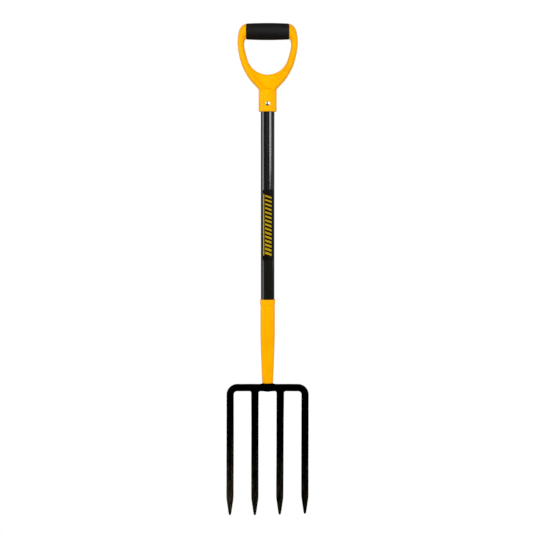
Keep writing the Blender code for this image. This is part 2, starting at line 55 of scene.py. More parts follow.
GAP = 0.3 * MM  # clearance between touching CAD pieces
HEAD_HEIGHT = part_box("head_bar")[1].z
CROSSBAR_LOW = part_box("inner_tine_left")[1].z + GAP
CROSSBAR_HEIGHT = HEAD_HEIGHT - CROSSBAR_LOW
CROSSBAR_DEPTH = 12.5 * MM
INNER_TINE_X = 27.3 * MM
OUTER_TINE_X = 80.7 * MM
TINE_WIDTH = 15.7 * MM
TINE_ROOT_WIDTH = 16.4 * MM
TINE_DEPTH_TOP = 10.0 * MM
TINE_DEPTH_LOW = 7.5 * MM
TINE_DISH = 20.0 * MM
ROOT_LENGTH = 65.0 * MM
CORNER_RADIUS = 15.4 * MM
TIP_RISES = (0.0, 0.0, 1.2 * MM, 2.8 * MM)
TIP_LEANS = (-0.6 * MM, -0.3 * MM, -1.2 * MM, -0.3 * MM)
TIP_OUTLINE = (  # height above the tip, width there
    (0.0, 1.8 * MM),
    (0.4 * MM, 3.3 * MM),
    (1.2 * MM, 4.5 * MM),
    (3.0 * MM, 5.6 * MM),
    (6.5 * MM, 6.9 * MM),
    (18.5 * MM, 10.5 * MM),
    (32.0 * MM, 14.5 * MM),
    (36.5 * MM, 15.4 * MM),
    (42.0 * MM, TINE_WIDTH),
)
FRONT_CHAMFER = (0.20, 0.33)  # shares of a bar's width and depth
BACK_CHAMFER = (0.14, 0.25)
CROSSBAR_CHAMFER = 0.5  # the crossbar's chamfers against a tine's
ROUNDING = 1.5 * MM  # how far a bar's corner is rounded back at most
ROUNDING_SHARE = 0.38  # most of a side that the rounding of one of its corners takes
CORNER_EDGE = (0.3, 0.8, 1.0, 0.8, 0.3)  # edge values round one corner, which say where paint wears

SHAFT_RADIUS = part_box("shaft")[1].x
SHAFT_LOW, SHAFT_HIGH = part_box("shaft")[0].z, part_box("shaft")[1].z

LABEL_LOW, LABEL_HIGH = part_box("shaft_label")[0].z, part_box("shaft_label")[1].z
LABEL_ARC = (math.radians(-47), math.radians(53))
# The label's print, in millimetres round from the front and up from the film's foot
STRIPE_PITCH, STRIPE_FIRST, STRIPE_COUNT = 8.6, 11.0, 15
STRIPE_SLOPE = 0.35  # how far a stripe falls for each millimetre round to the right
STRIPE_FILL, STRIPE_THINNING = 0.56, 0.01  # share of the pitch, less this much for each stripe
STRIPE_SPAN = (-5.4, 8.8)
LINE_SPAN = (-10.0, -7.6)
LINE_HEIGHTS = (11.0, 141.0)

FERRULE_LOW, FERRULE_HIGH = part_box("ferrule")[0].z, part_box("ferrule")[1].z
COLLAR_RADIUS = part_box("ferrule")[1].x
COLLAR_HEIGHT = 11.6 * MM
FERRULE_RADIUS = 15.4 * MM
FERRULE_WALL = 0.9 * MM
FERRULE_FOOT_RADIUS = 11.9 * MM
FERRULE_STRAIGHT_FROM = 388.0 * MM
FERRULE_TAPER_POWER = 1.1
# Press marks round the ferrule's foot: angle, height above the foot and reach up and down it (mm)
PRESS_MARKS = ((-0.5, 11, 3.2), (0.42, 9, 2.6), (1.7, 12, 3.0), (-1.9, 10, 3.0), (3.0, 11, 3.0))

TANG_RADIUS = 8.5 * MM
TANG_TIP_RADIUS = 4.0 * MM
TANG_TAPER_FROM = 302.0 * MM
TENON_RADIUS = 4.5 * MM
SHOULDER_TOP = (11.2 * MM, 8.7 * MM, 2.7 * MM)  # half width, half depth, height above the crossbar
SHOULDER_FOOT = (16.0 * MM, 9.0 * MM, GAP)

SLEEVE_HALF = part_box("grip_sleeve")[1].x
SLEEVE_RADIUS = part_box("grip_sleeve")[1].y
SLEEVE_BARREL = 1.1 * MM
GRIP_HEIGHT = (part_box("grip_sleeve")[0].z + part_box("grip_sleeve")[1].z) / 2
GRIP_CORE_RADIUS = 11.5 * MM
SOCKET_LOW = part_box("grip_frame")[0].z
SOCKET_TOP = SOCKET_LOW + 48.2 * MM
FILLET_REACH = 12 * MM  # up and down from the socket's top
RIVET_HEIGHT = (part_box("rivet_body")[0].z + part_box("rivet_body")[1].z) / 2
RIVET_CROWN = -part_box("rivet_body")[0].y
RIVET_HEAD_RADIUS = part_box("rivet_body")[1].x
RIVET_HEAD_HEIGHT = 1.7 * MM
RIVET_BORE = 1.35 * MM

# Stage
FLOOR_RADIUS = 0.9
ROOM_MIRRORED, ROOM_DIFFUSE = 0.18, 0.5  # the room's light, as glossy and as matt surfaces see it
STRIP_COLOUR = (0.96, 0.98, 1.06)
CAMERA_PLACE = (-0.0024, -2.465, 0.755)
CAMERA_DIP = math.radians(5.07)
LENS_AND_SENSOR = (78.35, 36.0)  # focal length and sensor width, in millimetres


# ---------------------------------------------------------------- mesh helpers


def mix(a, b, share):
    return a + (b - a) * share


def clamp(value, low=0.0, high=1.0):
    return max(low, min(high, value))


def smooth(low, high, value):
    share = clamp((value - low) / (high - low))
    return share * share * (3 - 2 * share)


def read_outline(outline, at):
    """The value that an outline of (position, value) points has at a position."""
    if at <= outline[0][0]:
        return outline[0][1]
    for (x0, y0), (x1, y1) in zip(outline, outline[1:]):
        if at <= x1:
            return mix(y0, y1, (at - x0) / (x1 - x0))
    return outline[-1][1]


def grain(point, scale, seed=0.0):
    """Smooth noise from -1 to 1 with features about 1 / scale metres across."""
    return noise.noise(Vector(point) * scale + Vector((seed, seed * 1.7, -seed)))


def add_piece(name, bm, material, node, sharp=40.0):
    """A finished piece that stands for a CAD node and rides on the root body."""
    bmesh.ops.recalc_face_normals(bm, faces=bm.faces)
    mesh = bpy.data.meshes.new(name)
    bm.to_mesh(mesh)
    bm.free()
    mesh.shade_smooth()
    mesh.set_sharp_from_angle(angle=math.radians(sharp))
    mesh.materials.append(material)
    piece = bpy.data.objects.new(name, mesh)
    bpy.context.scene.collection.objects.link(piece)
    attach(piece, "root")
    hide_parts(node)
    return piece


def skin(rings, looped=False):
    """A bmesh skin through rings of equally many points, closed at its ends or joined in a loop."""
    bm = bmesh.new()
    grid = [[bm.verts.new(point) for point in ring] for ring in rings]
    pairs = list(zip(grid, grid[1:]))
    if looped:
        pairs.append((grid[-1], grid[0]))
    count = len(grid[0])
    for low, high in pairs:
        for i in range(count):
            j = (i + 1) % count
            bm.faces.new((low[i], low[j], high[j], high[i]))
    if not looped:
        bm.faces.new(grid[0])
        bm.faces.new(grid[-1])
    return bm


def turned(profile, steps, wobble=None):
    """A closed turned shape about Z. wobble gives an extra radius for an angle and a height."""
    rings = []
    for i in range(steps):
        a = 2 * math.pi * i / steps
        ring = []
        for radius, height in profile:
            r = radius + (wobble(a, radius, height) if wobble else 0.0)
            ring.append(Vector((r * math.sin(a), -r * math.cos(a), height)))
        rings.append(ring)
    return skin(rings, looped=True)


def filled(profile, longest):
    """A profile with extra points, so that no step along it is longer than that."""
    points = []
    for (r0, z0), (r1, z1) in zip(profile, profile[1:]):
        count = max(1, math.ceil(math.hypot(r1 - r0, z1 - z0) / longest))
        points += [(mix(r0, r1, i / count), mix(z0, z1, i / count)) for i in range(count)]
    return [*points, profile[-1]]


def arc(centre, radius, start, end, count):
    """Points on an arc, with angles in degrees from the first axis towards the second."""
    angles = [math.radians(start + (end - start) * i / count) for i in range(count + 1)]
    return [(centre[0] + radius * math.cos(a), centre[1] + radius * math.sin(a)) for a in angles]


# ---------------------------------------------------------------- material helpers


class Look:
    """A Principled material, with short ways to add nodes that feed it."""

    def __init__(self, name, metallic=0.0, specular=0.5, tint=(1, 1, 1, 1)):
        self.material = bpy.data.materials.new(name)
        self.material.use_nodes = True
        self.tree = self.material.node_tree
        self.shader = self.tree.nodes["Principled BSDF"]
        self.feed(self.shader, Metallic=metallic, Specular_IOR_Level=specular, Specular_Tint=tint)
        self.place = self.add("ShaderNodeTexCoord").outputs["Object"]
        self.normal = None

    def add(self, kind, **settings):
        node = self.tree.nodes.new(kind)
        for key, value in settings.items():
            setattr(node, key, value)
        return node

    def feed(self, node, **inputs):
        """Sets or links a node's inputs, named or numbered as in _0."""
        for key, value in inputs.items():
            socket = node.inputs[int(key[1:]) if key[0] == "_" else key.replace("_", " ")]
            if isinstance(value, bpy.types.NodeSocket):
                self.tree.links.new(value, socket)
            else:
                socket.default_value = value
        return node

    def spread(self, stretch):
        return self.feed(self.add("ShaderNodeMapping"), Vector=self.place, Scale=stretch).outputs[0]

    def noise(self, scale, detail=4.0, roughness=0.55, stretch=None, distortion=0.0):
        node = self.add("ShaderNodeTexNoise")
        vector = self.spread(stretch) if stretch else self.place
        self.feed(node, Vector=vector, Scale=scale, Detail=detail, Roughness=roughness)
        return self.feed(node, Distortion=distortion).outputs["Fac"]

    def cells(self, scale):
        node = self.add("ShaderNodeTexVoronoi")
        return self.feed(node, Vector=self.place, Scale=scale).outputs["Distance"]

    def band(self, value, low, high, to_low=0.0, to_high=1.0):
        """Maps low..high smoothly to to_low..to_high, with no values outside."""
        node = self.add("ShaderNodeMapRange", interpolation_type="SMOOTHSTEP")
        return self.feed(node, _0=value, _1=low, _2=high, _3=to_low, _4=to_high).outputs[0]

    def maths(self, operation, a, b=0.0, c=0.0):
        node = self.add("ShaderNodeMath", operation=operation)
        return self.feed(node, _0=a, _1=b, _2=c).outputs[0]

    def colours(self, factor, a, b):
        node = self.add("ShaderNodeMix", data_type="RGBA")
        a, b = (c if isinstance(c, bpy.types.NodeSocket) else (*c, 1.0) for c in (a, b))
        return self.feed(node, _0=factor, _6=a, _7=b).outputs[2]

    def attribute(self, name):
        return self.add("ShaderNodeAttribute", attribute_name=name).outputs["Fac"]

    def axes(self):
        return self.feed(self.add("ShaderNodeSeparateXYZ"), Vector=self.place).outputs

    def bump(self, height, depth):
        """Adds relief: a height from 0 to 1 stands for that depth in metres."""
        node = self.feed(self.add("ShaderNodeBump"), Height=height, Distance=depth, Strength=1.0)
        if self.normal:
            self.feed(node, Normal=self.normal)
        self.normal = node.outputs[0]

    def finish(self, colour, roughness):
        """The material, with its colour and roughness given as values or as sockets to link."""
        self.feed(self.shader, Base_Color=colour, Roughness=roughness)
        if self.normal:
            self.tree.links.new(self.normal, self.shader.inputs["Normal"])
        return self.material


# ---------------------------------------------------------------- materials


def black_steel():
    """Baked black paint over a forged skin, worn to a dusty brown-grey towards the tips."""
    look = Look("black_steel", specular=0.035)
    x, _, height = look.axes()
    patches = look.noise(55, 5, 0.6)
    streaks = look.noise(60, 6, 0.65, stretch=(6, 6, 0.7), distortion=0.6)
    speckle = look.noise(900, 3, 0.7)
    low = look.band(height, 0.01, 0.2, 1.0, 0.0)
    streaked = look.band(streaks, 0.42, 0.62, 0.1, 1.0)
    worn = look.maths("MULTIPLY", look.maths("POWER", low, 1.6), streaked)
    edges = look.maths("MULTIPLY", look.attribute("edge"), look.band(streaks, 0.40, 0.6, 0.15, 1.0))
    edges = look.maths("MULTIPLY", edges, look.band(height, 0.0, 0.27, 0.7, 0.03))
    worn = look.maths("MINIMUM", look.maths("ADD", worn, edges), 1.0)
    # The wear falls from left to right: full on the left tine, half on the inner tines and a quarter on
    # the right one.
    inner, outer = 40 * MM, 70 * MM
    worn = look.maths("MULTIPLY", worn, look.band(x, -outer, -inner, 1.0, 0.5))
    worn = look.maths("MULTIPLY", worn, look.band(x, inner, outer, 1.0, 0.5))
    mottle = look.band(patches, 0.35, 0.7)
    paint = look.colours(mottle, (0.0009, 0.0009, 0.001), (0.0026, 0.0024, 0.0022))
    bare = look.colours(look.band(speckle, 0.35, 0.65), (0.006, 0.005, 0.0032), (0.058, 0.048, 0.031))
    colour = look.colours(worn, paint, bare)
    roughness = look.maths("MULTIPLY_ADD", worn, 0.12, look.band(patches, 0.3, 0.7, 0.42, 0.56))
    look.bump(look.noise(70, 3, 0.5), 0.25 * MM)
    look.bump(look.band(look.cells(260), 0.0, 0.35), 0.05 * MM)
    look.bump(look.noise(800, 4, 0.6), 0.05 * MM)
    return look.finish(colour, roughness)


def weld_steel():
    """Black paint over rippled weld metal."""
    look = Look("weld_steel", specular=0.05)
    patches = look.noise(300, 4, 0.6)
    mottle = look.band(patches, 0.3, 0.7)
    colour = look.colours(mottle, (0.0014, 0.0014, 0.0014), (0.004, 0.0038, 0.0035))
    look.bump(look.noise(500, 4, 0.6), 0.12 * MM)
    look.bump(look.noise(1800, 2, 0.5), 0.03 * MM)
    return look.finish(colour, look.band(patches, 0.3, 0.7, 0.38, 0.6))


def yellow_paint():
    """Golden paint on the steel sleeve: slight orange peel, thin scuffs and dust by the foot."""
    look = Look("yellow_paint", specular=0.3, tint=(1, 0.7, 0.03, 1))
    height = look.axes()[2]
    clouds = look.noise(35, 3, 0.5)
    scuffs = look.noise(40, 7, 0.7, stretch=(14, 14, 1.2), distortion=0.8)
    marks = look.band(scuffs, 0.66, 0.74)
    dust = look.band(look.noise(160, 5, 0.7), 0.48, 0.72)
    foot = look.maths("MULTIPLY", look.band(height, 0.286, 0.33, 1.0, 0.0), dust)
    colour = look.colours(look.band(clouds, 0.3, 0.7), (0.9, 0.378, 0.0008), (0.95, 0.42, 0.0008))
    colour = look.colours(look.maths("MULTIPLY", marks, 0.35), colour, (0.8, 0.25, 0.001))
    colour = look.colours(look.maths("MULTIPLY", foot, 0.4), colour, (0.5, 0.17, 0.002))
    roughness = look.maths("MULTIPLY_ADD", marks, 0.2, look.band(clouds, 0.3, 0.7, 0.3, 0.38))
    look.bump(look.noise(420, 2, 0.4), 0.03 * MM)
    look.bump(look.noise(2200, 2, 0.5), 0.006 * MM)
    return look.finish(colour, roughness)


def yellow_plastic():
    """Moulded golden plastic: spark-eroded texture, flow clouds and a parting line round the side."""
    look = Look("yellow_plastic", tint=(1, 0.72, 0.03, 1))
    y = look.axes()[1]
    clouds = look.noise(28, 3, 0.5, distortion=0.5)
    pores = look.noise(1500, 3, 0.6)
    scratches = look.noise(30, 6, 0.7, stretch=(1.5, 1.5, 14), distortion=0.4)
    colour = look.colours(look.band(clouds, 0.3, 0.7), (0.9, 0.378, 0.0008), (0.95, 0.424, 0.0008))
    colour = look.colours(look.band(scratches, 0.68, 0.78, 0.0, 0.25), colour, (0.8, 0.28, 0.001))
    colour = look.colours(look.band(pores, 0.2, 0.45, 0.25, 0.0), colour, (0.66, 0.22, 0.001))
    beside = look.maths("ABSOLUTE", look.maths("ADD", y, 0.2 * MM))
    line = look.band(beside, 0.15 * MM, 0.6 * MM, 1.0, 0.0)
    look.bump(look.noise(60, 2, 0.4), 0.08 * MM)
    look.bump(line, 0.12 * MM)
    look.bump(pores, 0.035 * MM)
    return look.finish(colour, look.band(clouds, 0.3, 0.7, 0.34, 0.44))


def fibreglass():
    """Black resin over lengthwise glass fibres: fine lines in its colour, gloss and relief."""
    look = Look("fibreglass")
    fibres = look.noise(26, 5, 0.6, stretch=(60, 60, 0.6))
    strands = look.noise(26, 3, 0.5, stretch=(18, 18, 0.25))
    clouds = look.noise(50, 4, 0.6, stretch=(1, 1, 0.3))
    scratches = look.noise(70, 6, 0.75, stretch=(8, 8, 0.5), distortion=1.2)
    lines = look.band(fibres, 0.35, 0.7)
    colour = look.colours(lines, (0.003, 0.0022, 0.0009), (0.0105, 0.0085, 0.0045))
    colour = look.colours(look.band(scratches, 0.66, 0.75, 0.0, 0.25), colour, (0.03, 0.03, 0.031))
    dull = look.band(clouds, 0.4, 0.7, 0.0, 0.06)
    roughness = look.maths("ADD", look.band(strands, 0.35, 0.65, 0.1, 0.16), dull)
    look.bump(strands, 0.005 * MM)
    look.bump(fibres, 0.0025 * MM)
    return look.finish(colour, roughness)


def label_film():
    """Matt black film with a plain line and a column of slanted stripes that get thinner upwards."""
    look = Look("label_film", specular=0.06)
    x, y, z = look.axes()
    turn = look.maths("ARCTAN2", x, look.maths("MULTIPLY", y, -1.0))
    along = look.maths("MULTIPLY", turn, SHAFT_RADIUS / MM)
    up = look.maths("DIVIDE", look.maths("SUBTRACT", z, LABEL_LOW), MM)

    def inside(value, low, high, soft):
        rise = look.band(value, low - soft, low + soft)
        return look.maths("MULTIPLY", rise, look.band(value, high - soft, high + soft, 1.0, 0.0))

    def both(a, b):
        return look.maths("MULTIPLY", a, b)

    slope = look.maths("MULTIPLY_ADD", along, STRIPE_SLOPE, up)
    slanted = look.maths("DIVIDE", look.maths("SUBTRACT", slope, STRIPE_FIRST), STRIPE_PITCH)
    number = look.maths("FLOOR", slanted)
    width = look.maths("MULTIPLY_ADD", number, -STRIPE_THINNING, STRIPE_FILL)
    off_centre = look.maths("ABSOLUTE", look.maths("SUBTRACT", look.maths("FRACT", slanted), 0.5))
    stripes = look.maths("LESS_THAN", off_centre, look.maths("MULTIPLY", width, 0.5))
    stripes = both(stripes, inside(along, *STRIPE_SPAN, 0.15))
    above_first = look.maths("GREATER_THAN", number, -0.5)
    stripes = both(stripes, both(above_first, look.maths("LESS_THAN", number, STRIPE_COUNT - 0.5)))
    line = both(inside(along, *LINE_SPAN, 0.1), inside(up, *LINE_HEIGHTS, 0.15))
    flecks = look.noise(1400, 3, 0.7)
    print_wear = look.band(flecks, 0.28, 0.42, 0.6, 1.0)
    ink = both(look.maths("MAXIMUM", look.maths("MULTIPLY", stripes, 0.8), line), print_wear)
    clouds = look.band(look.noise(120, 4, 0.6), 0.3, 0.7)
    film = look.colours(clouds, (0.0028, 0.0024, 0.0016), (0.0065, 0.0057, 0.004))
    grains = look.band(look.noise(250, 3, 0.6), 0.3, 0.7)
    gold = look.colours(grains, (0.46, 0.3, 0.003), (0.55, 0.365, 0.004))
    look.bump(look.noise(300, 3, 0.5), 0.03 * MM)
    look.bump(ink, 0.02 * MM)
    return look.finish(look.colours(ink, film, gold), look.band(flecks, 0.3, 0.7, 0.5, 0.66))


def soft_black():
    """Soft elastomer: dense fine grain, rubbed a little smoother where the hand lies."""
    look = Look("soft_black", specular=0.2)
    x = look.axes()[0]
    rubbed = look.band(look.maths("ABSOLUTE", x), 0.01, 0.042, 1.0, 0.0)
    rubbed = look.maths("MULTIPLY", rubbed, look.band(look.noise(45, 4, 0.6), 0.35, 0.65))
    pores = look.noise(1300, 4, 0.65)
    dust = look.band(look.noise(210, 6, 0.75, distortion=0.6), 0.58, 0.75)
    fine = look.band(pores, 0.3, 0.7)
    colour = look.colours(fine, (0.0025, 0.0022, 0.0018), (0.007, 0.0066, 0.006))
    colour = look.colours(look.maths("MULTIPLY", dust, 0.3), colour, (0.03, 0.028, 0.025))
    look.bump(look.noise(120, 2, 0.4), 0.06 * MM)
    look.bump(pores, 0.07 * MM)
    look.bump(look.cells(1100), 0.04 * MM)
    return look.finish(colour, look.maths("MULTIPLY_ADD", rubbed, -0.12, 0.66))


def rivet_metal():
    """Bright aluminium, scuffed."""
    look = Look("rivet_metal", metallic=1.0)
    scuff = look.noise(900, 5, 0.7)
    colour = look.colours(look.band(scuff, 0.4, 0.7), (0.68, 0.67, 0.63), (0.43, 0.42, 0.39))
    look.bump(look.noise(700, 3, 0.6), 0.03 * MM)
    return look.finish(colour, look.band(scuff, 0.3, 0.7, 0.22, 0.4))


def dark_steel():
    """Dull steel of the rivet's broken-off pin, with a little rust."""
    look = Look("mandrel_steel", metallic=1.0)
    rust = look.noise(350, 5, 0.7)
    colour = look.colours(look.band(rust, 0.4, 0.7), (0.32, 0.32, 0.33), (0.16, 0.15, 0.15))
    look.bump(look.noise(900, 4, 0.6), 0.05 * MM)
    return look.finish(colour, look.band(rust, 0.3, 0.7, 0.32, 0.6))


def hardwood():
    """Straight-grained wood."""
    look = Look("hardwood")
    rings = look.noise(40, 5, 0.6, stretch=(10, 3, 0.5), distortion=1.0)
    colour = look.colours(look.band(rings, 0.35, 0.65), (0.5, 0.34, 0.19), (0.3, 0.18, 0.085))
    look.bump(rings, 0.06 * MM)
    return look.finish(colour, look.band(rings, 0.3, 0.7, 0.5, 0.7))


# ---------------------------------------------------------------- forged head


def rounding_cut(*sides):
    """How far back a bar's corner is rounded, between the sides that meet there."""
    return min(ROUNDING, *(ROUNDING_SHARE * side.length for side in sides))


def bar_ring(centre, across, width, depth, chamfer=1.0):
    """Ring of a bar with flat front and back, chamfered and rounded, and each point's edge value."""
    half, deep = width / 2, depth / 2
    front_in = half - chamfer * FRONT_CHAMFER[0] * width
    front_back = deep - chamfer * FRONT_CHAMFER[1] * depth
    rear_in = half - chamfer * BACK_CHAMFER[0] * width
    rear_back = deep - chamfer * BACK_CHAMFER[1] * depth
    corners = [
        (-front_in, -deep),
        (front_in, -deep),
        (half, -front_back),
        (half, rear_back),
        (rear_in, deep),
        (-rear_in, deep),
        (-half, rear_back),
        (-half, -front_back),
    ]
    corners = [Vector(corner) for corner in corners]
    fillings = (7, 2, 3, 1, 7, 1, 3, 2)  # extra points along the side that starts at each corner
    ring, edges = [], []
    for i, corner in enumerate(corners):
        before, after = corners[i - 1] - corner, corners[(i + 1) % 8] - corner
        cut = rounding_cut(before, after)
        start, end = corner + before.normalized() * cut, corner + after.normalized() * cut
        for k, value in enumerate(CORNER_EDGE):
            t = k / (len(CORNER_EDGE) - 1)
            ring.append(start * (1 - t) ** 2 + corner * 2 * t * (1 - t) + end * t**2)
            edges.append(value)
        following = corners[(i + 1) % 8]
        onward = corners[(i + 2) % 8] - following
        stop = following - after.normalized() * rounding_cut(after, onward)
        for k in range(1, fillings[i] + 1):
            ring.append(end.lerp(stop, k / (fillings[i] + 1)))
            edges.append(0.0)
    return [centre + across * p.x + Vector((0, p.y, 0)) for p in ring], edges


def tine_station(x, tine, z, top, root_width, across):
    """Ring of a tine at a height, a little uneven as forging leaves it."""
    rise = TIP_RISES[tine]
    body = top - ROOT_LENGTH
    width = read_outline(TIP_OUTLINE, z - rise)
    width = mix(width, root_width, clamp((z - body) / ROOT_LENGTH))
    depth = mix(TINE_DEPTH_LOW, TINE_DEPTH_TOP, z / HEAD_HEIGHT)
    depth *= 0.42 + 0.58 * min(1.0, width / TINE_WIDTH)
    spread = clamp(width / TINE_WIDTH)
    width += spread * 0.22 * MM * grain((0, 0, z), 22, tine * 5.1 + 2)
    depth += spread * 0.3 * MM * grain((0, 0, z), 30, tine * 3.7 + 9)
    share = clamp(1 - z / CROSSBAR_LOW)
    middle = Vector((x + TIP_LEANS[tine] * share, -TINE_DISH * share**2, z))
    fade = smooth(top, top - 25 * MM, z)
    middle.x += fade * 0.1 * MM * grain((0, 0, z), 14, tine * 7.3 + 4)
    return bar_ring(middle, across, width, depth)


def tine_heights(tine, top):
    """Heights from the tip to the top, closer together at the tip."""
    near_tip = (0.03, 0.25, 0.6, 1.0, 1.5, 2.1, 2.8, 3.6, 4.6, 5.8, 7.0)
    heights = [TIP_RISES[tine] + height * MM for height in near_tip]
    start = heights[-1]
    count = math.ceil((top - start) / (1.6 * MM))
    return heights + [mix(start, top, i / count) for i in range(1, count + 1)]


def forge(bm, edges):
    """Shallow hollows, hammer marks and scale, and each point's edge value as an attribute."""
    layer = bm.verts.layers.float.new("edge")
    bm.normal_update()
    for i, vertex in enumerate(bm.verts):
        vertex[layer] = edges[i]
    for vertex in bm.verts:
        p = vertex.co
        relief = 0.12 * grain(p, 45, 3) + 0.07 * grain(p, 150, 11) + 0.04 * grain(p, 420, 23)
        dent = max(0.0, grain(p, 95, 31) - 0.4)
        nick = max(0.0, grain((p.x, p.y, p.z * 0.5), 240, 47) - 0.55) * vertex[layer]
        flat = 1 - 0.6 * abs(vertex.normal.x)  # the sides are smoother than the faces
        vertex.co = p + vertex.normal * (flat * (relief - 0.6 * dent - 0.5 * nick) - 0.07) * MM


def make_bar(name, stations, material, node):
    """A forged bar through stations of a ring and its edge values."""
    rings = [ring for ring, _ in stations]
    edges = [value for _, values in stations for value in values]
    bm = skin(rings)
    bm.verts.ensure_lookup_table()
    forge(bm, edges)
    add_piece(name, bm, material, node, sharp=60)


def corner_station(side, share):
    """Ring of the bend on the left (-1) or right (1), a share of the way from tine to crossbar."""
    angle = math.pi / 2 * share
    centre = Vector((side * (OUTER_TINE_X - CORNER_RADIUS), 0, HEAD_HEIGHT - CROSSBAR_HEIGHT / 2))
    centre += Vector((side * CORNER_RADIUS * math.cos(angle), 0, CORNER_RADIUS * (math.sin(angle) - 1)))
    across = Vector((-side * math.cos(angle), 0, -math.sin(angle)))
    width = mix(TINE_WIDTH, CROSSBAR_HEIGHT, share)
    depth = mix(TINE_DEPTH_TOP, CROSSBAR_DEPTH, share)
    return bar_ring(centre, across, width, depth, mix(1.0, CROSSBAR_CHAMFER, share))


def crossbar_station(x):
    """Ring of the crossbar, a little swollen round the tang."""
    swell = 0.3 * MM * math.exp(-((x / (16 * MM)) ** 4))
    fade = smooth(OUTER_TINE_X - CORNER_RADIUS, 40 * MM, abs(x))
    width = CROSSBAR_HEIGHT + swell + fade * 0.3 * MM * grain((x, 0, 0), 42, 15)
    level = HEAD_HEIGHT - CROSSBAR_HEIGHT / 2 + fade * 0.25 * MM * grain((x, 0, 0), 30, 6)
    return bar_ring(Vector((x, 0, level)), Vector((0, 0, -1)), width, CROSSBAR_DEPTH, CROSSBAR_CHAMFER)


def make_head_bar(material):
    """Crossbar and outer tines, one bar bent twice."""
    reach = OUTER_TINE_X - CORNER_RADIUS
    low = HEAD_HEIGHT - CROSSBAR_HEIGHT / 2 - CORNER_RADIUS
    left, right = (
        [
            tine_station(side * OUTER_TINE_X, tine, z, low, TINE_WIDTH, Vector((-side, 0, 0)))
            for z in tine_heights(tine, low)
        ]
        for side, tine in ((-1, 0), (1, 3))
    )
    bend_steps, bar_steps = 26, 84
    left += [corner_station(-1, i / bend_steps) for i in range(1, bend_steps + 1)]
    right += [corner_station(1, i / bend_steps) for i in range(1, bend_steps + 1)]
    middle = [crossbar_station(mix(-reach, reach, i / bar_steps)) for i in range(1, bar_steps)]
    make_bar("head_bar_forged", left + middle + right[::-1], material, "head_bar")


def make_inner_tine(name, x, tine, material, node):
    top = CROSSBAR_LOW + 1.0 * MM  # runs just into the crossbar
    heights = tine_heights(tine, top)
    stations = [tine_station(x, tine, z, top, TINE_ROOT_WIDTH, Vector((1, 0, 0))) for z in heights]
    make_bar(name, stations, material, node)


def make_tine_weld(name, x, material, node):
    """Concave run of weld round a tine's root, with the ripples of its passes."""
    reach, deep = TINE_ROOT_WIDTH / 2 + 5.8 * MM, 7.1 * MM  # half width and depth under the crossbar
    inner_reach, inner_deep = TINE_ROOT_WIDTH / 2 - 0.6 * MM, TINE_DEPTH_TOP / 2 - 0.5 * MM
    top = CROSSBAR_LOW + 0.8 * MM
    count = 120
    rings = []
    for i in range(count):
        angle = 2 * math.pi * i / count
        dx, dy = math.cos(angle), math.sin(angle)
        outer = Vector((x + reach * dx, deep * dy, top))
        scale = 1 / max(abs(dx) / inner_reach, abs(dy) / inner_deep)
        inner = Vector((x + dx * scale, dy * scale, top))
        leg = (outer - inner).length
        pulse = 0.18 * MM * math.sin(angle * 23 + 2 * grain((dx, dy, 0), 2, x * 50))
        ring = [inner]
        for k in range(9):
            a = math.radians(90 * k / 8)
            point = inner.lerp(outer, 1 - math.sin(a)) - Vector((0, 0, leg * (1 - math.cos(a))))
            bulge = (pulse + 0.25 * MM * grain(point, 300, 5)) * math.sin(math.pi * (k + 0.5) / 9)
            ring.append(point + Vector((dx, dy, -0.7)).normalized() * bulge)
        rings.append(ring)
    add_piece(name, skin(rings, looped=True), material, node, sharp=50)


def make_tang_weld(material):
    """Flattened, rippled button of weld under the middle of the crossbar."""
    # A ball of rings between two poles: the built-in sphere lists its faces differently each run.
    steps, bands = 56, 28
    rings = []
    for i in range(1, bands):
        polar = math.pi * i / bands
        ring = arc((0, 0), math.sin(polar), 0, 360 * (steps - 1) / steps, steps - 1)
        rings.append([Vector((x, y, math.cos(polar))) for x, y in ring])
    bm = skin(rings)
    caps = [face for face in bm.faces if len(face.verts) == steps]
    for pole in bmesh.ops.poke(bm, faces=caps)["verts"]:
        pole.co.z = math.copysign(1, pole.co.z)
    for vertex in bm.verts:
        p = vertex.co
        ripple = 1 + 0.05 * grain(p, 3.2, 4) + 0.03 * math.sin(9 * p.x + 2 * p.y)
        z = CROSSBAR_LOW + 0.5 * MM + p.z * (2.1 * MM if p.z < 0 else 1.0 * MM) * ripple
        vertex.co = Vector((p.x * 8.4 * MM * ripple, p.y * 5.1 * MM * ripple, z))
    add_piece("tang_weld_bead", bm, material, "tang_weld")


